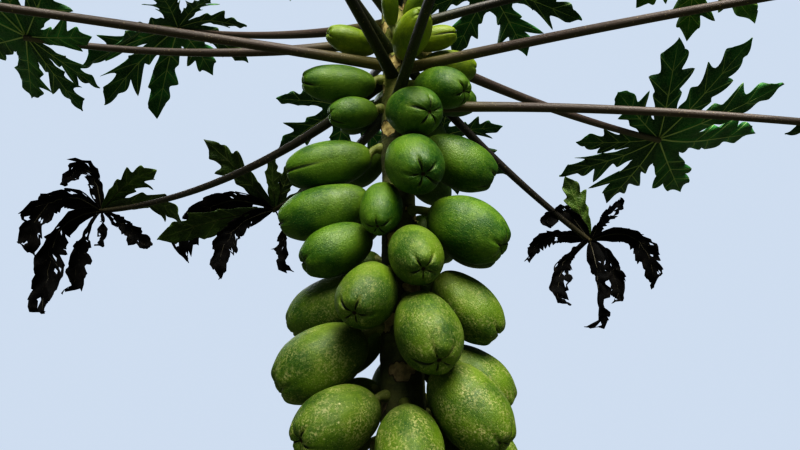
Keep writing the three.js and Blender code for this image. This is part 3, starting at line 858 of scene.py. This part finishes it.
class Skin:
    """The shape of one fruit's skin: an egg with its fuller half away from the stalk, and creases of uneven
    depth and length that run into the navel at its tip."""

    def __init__(self, fruit, seed, sides):
        draw = random.Random(seed)
        self.fruit = fruit
        self.left = UP.cross(fruit.axis).normalized()
        self.top = fruit.axis.cross(self.left)
        self.shift = draw.randrange(sides // CREASES) * CREASES / sides
        self.depths = [draw.uniform(0.6, 1.25) for _ in range(CREASES)]
        self.reaches = [draw.uniform(0.36, 0.72) for _ in range(CREASES)]
        self.reaches[draw.randrange(CREASES)] = draw.choice((0.8, 1.1, 1.5, 2.1))
        self.bow = draw.uniform(-0.02, 0.02)
        self.neck = draw.uniform(0.05, 0.12)

    def crease(self, turn, from_tip):
        """How deep a point lies in a crease, and if it is near it (0) or half way to the next one (1)."""
        ridge = turn * CREASES / TURN + self.shift
        number = round(ridge)
        near = abs(ridge - number) * 2
        reach = self.reaches[number % CREASES]
        along = smooth(from_tip, 0.02, 0.14) * smooth(from_tip, reach, 0.3 * reach)
        wide = CREASE_WIDTH * (1 + 1.2 * math.exp(-from_tip / 0.25))
        return self.depths[number % CREASES] * along * hump(near, 0, wide), near

    def from_tip(self, share):
        return math.pi * (1 - share) ** 1.3

    def place(self, turn, share):
        fruit = self.fruit
        from_tip = self.from_tip(share)
        along = math.cos(from_tip)
        half = fruit.width / 2
        round_tip = math.sin(from_tip)
        radius = half * round_tip**FRUIT_BLUNTNESS * (1 + self.neck * along) if 0 < share < 1 else 0
        deep, near = self.crease(turn, from_tip)
        puff = PUFF * math.sin(near * math.pi / 2) * hump(from_tip, 0.36, 0.2)
        lip = LIP * hump(near, 2.4 * CREASE_WIDTH, CREASE_WIDTH) * smooth(from_tip, 0.9, 0.3)
        angle = math.cos(near * math.pi) * ANGLE * round_tip
        spoke = self.left * math.cos(turn) + self.top * math.sin(turn)
        plain = fruit.centre + spoke * radius + fruit.axis * (along * fruit.length / 2)
        lump = LUMP * noise.noise(plain / 50)
        proud = half * (puff + lip - angle + lump - CREASE_DEPTH * deep)
        axial = along * fruit.length / 2 + proud * along
        axial -= NAVEL_DEPTH * fruit.length * hump(from_tip, 0, NAVEL)
        axial += NECK * fruit.length * hump(from_tip, math.pi, 0.2)
        aside = self.bow * fruit.length * (1 - along * along)
        reach = radius + proud * round_tip
        return fruit.centre + fruit.axis * axial + spoke * reach + self.top * aside

    def mark(self, turn, share):
        return min(1, self.crease(turn, self.from_tip(share))[0])


STALK_END = 0.44  # share of the fruit's length from its middle to where its stalk ends inside it
STALK_STEPS = 14


def fruit_stalk(bm, fruit, root, branch):
    inner = trunk_centre(root.z)
    out = (root - inner).normalized()
    knuckle = root + out * STALK_KNUCKLE
    end = fruit.centre - fruit.axis * (fruit.length * STALK_END)
    way = [knuckle, end] if branch else [inner + out * STALK_KNUCKLE, knuckle, end]
    path = [line_point(way, i / STALK_STEPS) for i in range(STALK_STEPS + 1)]
    girth = STALK_RADIUS * (BRANCH_GIRTH if branch else 1) * (0.6 + 0.4 * min(1, fruit.width / 100))

    def radius_at(share):
        foot = 0.45 * hump(share, 0.32, 0.12) if not branch else 0
        collar = 0.5 * smooth(share, 0.8, 1)
        return girth * (0.92 + foot + collar)

    tube(bm, path, radius_at, 12)


# The kinds of fruit from the crown down, then the far ones: number of their last stalk, darks, lights,
# bloom, how dotted and how scurfy they are, roughness
FRUIT_KINDS = {
    "young": (3, (84, 108, 14), (132, 150, 24), (162, 170, 60), 0.2, 0.1, 0.46),
    "green": (14, (30, 72, 14), (80, 110, 28), (116, 134, 54), 0.3, 0.2, 0.48),
    "mature": (len(NEAR_FRUIT), (46, 78, 16), (88, 112, 28), (126, 138, 62), 0.5, 0.9, 0.52),
    "far": (len(NEAR_FRUIT) + FAR_STALKS, (38, 74, 14), (76, 106, 26), (108, 128, 50), 0.4, 0.5, 0.52),
}


def make_fruit(bunches):
    first = 0
    for kind, (last, *look) in FRUIT_KINDS.items():
        sides, rows = (FAR_SIDES, FAR_ROWS) if kind == "far" else (FRUIT_SIDES, FRUIT_ROWS)
        bm = new_piece_mesh()
        for number in range(first, last):
            for twin, fruit in enumerate(bunches[number]):
                skin = Skin(fruit, number * 10 + twin, sides)
                sleeve(bm, sides, rows, skin.place, skin.mark)
        skin = skin_material(f"{kind}_skin", *look)
        finish_piece(bm, f"fruit_{kind}", skin, nodes_of("fruit", range(first, last)))
        first = last
    bm = new_piece_mesh()
    for bunch in bunches:
        root = stalk_root(bunch[0])
        for twin, fruit in enumerate(bunch):
            fruit_stalk(bm, fruit, root, twin > 0)
    stalk = limb_material("stalk_skin", (128, 120, 70), (110, 122, 60), (150, 158, 88), (150, 140, 92), 0.6)
    finish_piece(bm, "fruit_stalks", stalk, nodes_of("fruit", range(len(bunches))))


# The leaves
PETIOLE_SIDES = 14
PETIOLE_STEPS = 44
SLANT_ROOT, SLANT_TIP = 52, 34  # degrees between the rib and the side veins
WEB_EDGE = 0.2  # share of the rib where the webs between lobes end
SINUS = 0.3
WEB_ROWS = 5
ACROSS = 3  # strips between a rib and its margin
# The margin of half a lobe: place on the rib, reach along the side vein, and number of the vein, which is
# whole at the tip of a side lobe. The notch after it has half a number more, and the last row is the end.
MARGIN = [
    (0.20, 0.145, 0.5),
    (0.27, 0.140, 0.8),
    (0.34, 0.195, 1),
    (0.40, 0.155, 1.5),
    (0.48, 0.345, 2),
    (0.59, 0.142, 2.5),
    (0.68, 0.195, 3),
    (0.78, 0.138, 3.5),
    (1, 0, 4),
]
MARGIN_STEPS = 5
NOTCH = 0.14
DRY_TEETH = 0.5  # how far the side lobes of a withered lobe reach against a sound one's
DRY_REACH = 0.8
DRY_FRAY = 0.45
BLADE_THICKNESS = 0.0012


def margin_rows(lobe):
    """Rows of half a lobe beyond the web, for both hands: rib place, the two reaches, vein number."""
    draw = random.Random(lobe.seed)
    tips, places = {}, {}
    for place, reach, vein in MARGIN:
        inner = 0.5 < vein < 4
        stretch = lobe.side_lobes if vein == round(vein) else 1
        if lobe.dry:
            stretch *= DRY_TEETH
        reaches = [NOTCH + (reach - NOTCH) * stretch * draw.uniform(0.6, 1.3) for _ in range(2)]
        tips[vein] = reaches if inner else [reach, reach]
        places[vein] = place + (draw.uniform(-0.018, 0.018) if inner else 0)
    rows = []
    for (*_, vein), (*_, next_vein) in zip(MARGIN, MARGIN[1:]):
        for step in range(MARGIN_STEPS):
            part = step / MARGIN_STEPS
            rib = places[vein] + (places[next_vein] - places[vein]) * part
            reaches = []
            for hand in range(2):
                start, end = tips[vein][hand], tips[next_vein][hand]
                curve = part**1.3 if end > start else 1 - (1 - part) ** 1.4
                curve += 0.5 * (smooth(part, 0, 1) - curve)
                if next_vein >= 3:
                    curve = part if end == 0 else smooth(part, 0, 1)
                reach = start + (end - start) * curve
                if lobe.dry:
                    fray = DRY_FRAY * noise.noise(Vector((rib * 30, lobe.seed, hand)))
                    reach *= DRY_REACH * (1 + fray)
                reaches.append(reach)
            rows.append((rib, reaches, vein + (next_vein - vein) * part))
    rows.append((1, [0, 0], 4))
    return rows


WAVE = 0.018  # how far a margin waves up and down, as a share of the lobe's length
QUILT = 0.006  # how far the lamina rises between its side veins, likewise
CRUMPLE = 9
CRUMPLE_SIZE = 24


def blade_point(lobes, index, step, out):
    """A point of a lobe, on one of its rows, out from the rib (0) to the margin (1 or -1), and its place
    between the side veins."""
    lobe = lobes[index]
    hand = 1 if out > 0 else -1
    neighbour = index + hand
    joined = 0 <= neighbour < len(lobes) and not lobe.roll
    between = math.radians(LOBE_FAN / (len(lobes) - 1))
    half_way = Vector((math.cos(between / 2), math.sin(between / 2)))
    away = abs(out)
    part = min(1, step / WEB_ROWS)
    if step < WEB_ROWS:
        rib, vein = WEB_EDGE * part, 0.25 + 0.25 * part
        edge = Vector((0.27 * part, 0.1 * part**0.6)) * lobe.length
    else:
        rib, reaches, vein = lobe.rows[step - WEB_ROWS]
        slant = math.radians(SLANT_ROOT + (SLANT_TIP - SLANT_ROOT) * rib)
        reach = reaches[0 if hand > 0 else 1] * lobe.length
        edge = Vector((rib * lobe.length, 0)) + Vector((math.cos(slant), math.sin(slant))) * reach
    if joined and step <= WEB_ROWS:
        edge = half_way * (SINUS * (lobe.length + lobes[neighbour].length) / 2 * part)
    flat = Vector((rib * lobe.length, 0)).lerp(edge, away)
    fade = min(1, max(0, 1 - (rib - WEB_EDGE) / 0.1))
    x, y = flat.x, flat.y * hand
    loose = smooth(rib, WEB_EDGE, WEB_EDGE + 0.15)
    wave = WAVE * lobe.length * math.sin(vein * TURN + lobe.seed) * away**2
    quilt = -QUILT * lobe.length * math.cos(vein * TURN) * math.sin(math.pi * away)
    fold = lobe.gutter * abs(y) - 0.5 * y * y / lobe.length
    lift = (wave + fold) * loose + quilt * (1 - away**4)
    point = lobe.lay(x, y, lift)
    if joined and fade > 0 and away > 0:
        near_x = x * math.cos(between) + hand * y * math.sin(between)
        near_y = -hand * x * math.sin(between) + y * math.cos(between)
        other = lobes[neighbour].lay(near_x, near_y, lift)
        point = point.lerp(other, 0.5 * away**1.5 * fade)
    if lobe.roll:
        crumple = noise.noise_vector(point / CRUMPLE_SIZE)
        point = point + crumple * (CRUMPLE * lobe.roll * smooth(rib, 0.02, 0.3))
    return point, vein


def lobe_skin(bm, lobes, index):
    """One lobe as a grid from its web to its tip. The webs of neighbours merge."""
    lobe = lobes[index]
    across = ACROSS + (2 if lobe.roll else 0)
    last = WEB_ROWS + len(lobe.rows) - 1
    made = bmesh.ops.create_grid(bm, x_segments=2 * across, y_segments=last, size=0.5, calc_uvs=True)
    grid = made["verts"]
    kept = bm.verts.layers.float.get(MARK)
    veins = {}
    for vert in grid:
        vert[kept] = lobe.tone
        step = round((vert.co.y + 0.5) * last)
        out = -vert.co.x * 2
        out = 0 if abs(out) < 1e-4 else out
        vert.co, veins[step] = blade_point(lobes, index, step, out)
    uv = bm.loops.layers.uv.active
    faces = {face for vert in grid for face in vert.link_faces}
    for face in faces:
        for loop in face.loops:
            across_share, along = loop[uv].uv
            loop[uv].uv = (abs(across_share * 2 - 1), veins[round(along * last)])
    return grid


def vein_tubes(bm, lobes, index):
    """The rib of a lobe and its side veins, standing out under the blade."""
    lobe = lobes[index]
    scale = lobe.length / GROWN_BLADE
    under = 0 if lobe.roll else 0.9

    def path(points, sink):
        return [point - lobe.normals[0] * sink for point in points]

    last = WEB_ROWS + len(lobe.rows) - 1
    rib = [blade_point(lobes, index, step, 0)[0] for step in range(0, last, 3)]
    tube(bm, path(rib, under), lambda share: (2.6 - 2.1 * share**0.7) * scale, 6)
    for step, (place, reaches, vein) in enumerate(lobe.rows):
        if vein != round(vein) or vein > (2 if lobe.dry else 3):
            continue
        for hand, reach in zip((1, -1), reaches):
            outs = [hand * out for out in (0, 0.25, 0.5, 0.75, 0.93)]
            points = [blade_point(lobes, index, step + WEB_ROWS, out)[0] for out in outs]
            girth = scale * (0.5 + 1.6 * reach)
            tube(bm, path(points, under * 0.6), lambda share: girth * (1 - 0.72 * share), 4)


HOLE_LEVEL = 0.5
HOLE_SIZE = 17
# Each tone of blade: its leaves, its darks, its lights and its veins. The tones are darker and lighter
# copies of one green, dealt out by leaf: painted shade, and painted light shining through.
BLADE_TONES = {
    "deep": ([1, 3, 5, 6, 9, 12, 16, 21], (10, 48, 30), (28, 80, 44), (136, 160, 104)),
    "mid": ([7, 8, 10, 11, 14, 17, 19], (14, 58, 32), (38, 92, 46), (142, 164, 106)),
    "lit": ([13, 15, 18, 20, 22], (34, 76, 28), (72, 114, 40), (156, 172, 104)),
}
# Each tone of petiole: its leaves, its colours at the root, middle and tip, and that of its streaks, a
# painted highlight. The dark tone is a shaded copy of the brown one: painted shade, as well as the real
# dark of the withered leaves' petioles.
BROWN_PETIOLES = [3, 6, 7, 8, 10, 12, 14, 17, 19]
SHADED_AND_WITHERED_PETIOLES = [number for number in range(len(LEAVES)) if number not in BROWN_PETIOLES]
PETIOLE_TONES = {
    "brown": (BROWN_PETIOLES, (100, 96, 46), (66, 54, 49), (80, 74, 50), (94, 86, 80)),
    "dark": (SHADED_AND_WITHERED_PETIOLES, (48, 58, 30), (34, 31, 27), (64, 60, 38), (66, 60, 54)),
}
PETIOLE_START = 0.02  # share of its line at which a petiole's finer skin starts
FLATNESS = 0.3  # how much wider than high its root is


def thicken(piece):
    shell = piece.modifiers.new("thickness", "SOLIDIFY")
    shell.thickness = BLADE_THICKNESS
    shell.offset = 0


def make_petioles():
    def on_line(share):
        return PETIOLE_START + (1 - PETIOLE_START) * share

    def flatten(share):
        return 1 + FLATNESS * math.exp(-share / PETIOLE_SHEATH)

    for tone, (numbers, *colours) in PETIOLE_TONES.items():
        bm = new_piece_mesh()
        for number in numbers:
            leaf = LEAVES[number]
            line = petiole_line(leaf)
            path = [line_point(line, on_line(i / PETIOLE_STEPS)) for i in range(PETIOLE_STEPS + 1)]
            tube(bm, path, lambda share: petiole_radius(leaf, on_line(share)), PETIOLE_SIDES, flatten)
        skin = limb_material(f"petiole_{tone}", *colours, 0.5)
        finish_piece(bm, f"petioles_{tone}", skin, nodes_of("leaf", numbers))


def make_green_blades(blades):
    vein_bm = new_piece_mesh()
    for tone, (numbers, *colours) in BLADE_TONES.items():
        bm = new_piece_mesh()
        for number in numbers:
            lobes = blades[number]
            skin = []
            for index in range(len(lobes)):
                skin += lobe_skin(bm, lobes, index)
                vein_tubes(vein_bm, lobes, index)
            bmesh.ops.remove_doubles(bm, verts=skin, dist=WEB_MERGE)
        lamina = blade_material(f"blade_{tone}", *colours, 0.55)
        thicken(finish_piece(bm, f"blades_{tone}", lamina, nodes_of("leaf", numbers)))
    vein = plain_material("vein_pale", (164, 178, 116), 0.5)
    green = [number for number in range(len(LEAVES)) if number + 1 not in HANGING_LOBES]
    finish_piece(vein_bm, "blade_veins", vein, nodes_of("leaf", green))


def make_withered_blades(blades):
    dry = dry_material("withered_lamina", (6, 7, 8), (18, 16, 14), (38, 30, 24), 0.8)
    green = blade_material("withered_green", (34, 54, 24), (66, 88, 38), (126, 138, 86), 0.45)
    vein = plain_material("withered_vein", (58, 54, 38), 0.6)
    dry_bm, green_bm, vein_bm = new_piece_mesh(), new_piece_mesh(), new_piece_mesh()
    numbers = [number - 1 for number in HANGING_LOBES]
    for number in numbers:
        lobes = blades[number]
        for index, lobe in enumerate(lobes):
            lobe_skin(dry_bm if lobe.dry else green_bm, lobes, index)
            vein_tubes(vein_bm, lobes, index)
    uv = dry_bm.loops.layers.uv.active
    holes = []
    for face in dry_bm.faces:
        inside = all(0.05 < loop[uv].uv.x < 0.95 for loop in face.loops)
        if inside and noise.noise(face.calc_center_median() / HOLE_SIZE) > HOLE_LEVEL:
            holes.append(face)
    bmesh.ops.delete(dry_bm, geom=holes, context="FACES")
    nodes = nodes_of("leaf", numbers)
    thicken(finish_piece(dry_bm, "withered_lobes", dry, nodes))
    thicken(finish_piece(green_bm, "withered_green_lobes", green, nodes))
    finish_piece(vein_bm, "withered_veins", vein, nodes)


def make_leaves():
    blades = [lobes_of(leaf, number) for number, leaf in enumerate(LEAVES)]
    for lobes in blades:
        for lobe in lobes:
            lobe.rows = margin_rows(lobe)
    make_petioles()
    make_green_blades(blades)
    make_withered_blades(blades)


# Camera, light and floor
def make_camera():
    data = bpy.data.cameras.new("camera")
    data.lens = CAMERA_LENS
    scene.camera = add("camera", data)
    scene.camera.location = CAMERA_PLACE
    scene.camera.rotation_euler = (math.radians(90 + CAMERA_TILT), 0, 0)


LIGHT_AIM = Vector((0, 0, 2.2))


def make_light(name, kind, place, size, power, tint):
    """A light turned to the middle of the crown. size is a sun's angle or an area's width."""
    data = bpy.data.lights.new(name, kind)
    data.energy = power
    data.color = tint
    if kind == "SUN":
        data.angle = size
    else:
        data.size = size
    light = add(name, data)
    light.location = place
    light.rotation_euler = (LIGHT_AIM - Vector(place)).to_track_quat("-Z", "Y").to_euler()


def make_world():
    """Pale to the eye and dimmer as light on the plant, so that its shade stays deep."""
    world = bpy.data.worlds.new("studio")
    world.use_nodes = True
    backdrop = world.node_tree.nodes["Background"]
    backdrop.inputs["Color"].default_value = (0.76, 0.86, 1, 1)
    g = Graph(world.node_tree)
    seen = g("LightPath").outputs["Is Camera Ray"]
    strength = g("MapRange", {0: seen, 3: 0.15, 4: 0.62}).outputs[0]
    world.node_tree.links.new(strength, backdrop.inputs["Strength"])
    scene.world = world


def floor_paint(g):
    """Pale to the eye, and as dark as ground cover in the light that it throws back up."""
    seen = g("LightPath").outputs["Is Camera Ray"]
    return g.mix(seen, (70, 76, 58), (134, 136, 140)), None, None, 0


def make_studio():
    floor_bm = new_piece_mesh()
    bmesh.ops.create_grid(floor_bm, x_segments=1, y_segments=1, size=60)
    add_mesh(floor_bm, "floor", material("floor_pale", floor_paint, 0.95))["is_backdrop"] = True
    make_world()
    make_light("key", "SUN", (0.3, -3.2, 6.4), 0.8, 8.2, (1, 0.97, 0.88))
    make_light("rim", "AREA", (-2.6, 3.4, 4.6), 2.5, 60, (0.92, 0.96, 1))
    scene.view_settings.view_transform = "Standard"
    scene.view_settings.look = "High Contrast"


make_camera()
make_studio()

near = [[Fruit(*row) for row in bunch] for bunch in NEAR_FRUIT]
far = [[Fruit(*far_row(2 * stalk)), Fruit(*far_row(2 * stalk + 1))] for stalk in range(FAR_STALKS)]
bunches = near + far
petiole_balls = []
for leaf in LEAVES:
    line = petiole_line(leaf)
    shares = [FIRST_BALL + BALL_STEP * i for i in range(BALLS)]
    petiole_balls += [(line_point(line, share), petiole_radius(leaf, share)) for share in shares]
settle([fruit for bunch in bunches for fruit in bunch], petiole_balls)

make_trunk()
make_fruit(bunches)
make_leaves()

boxes = {"cad": cad_box, "visual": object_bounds()}
{name: [list(corner) for corner in box] for name, box in boxes.items()}
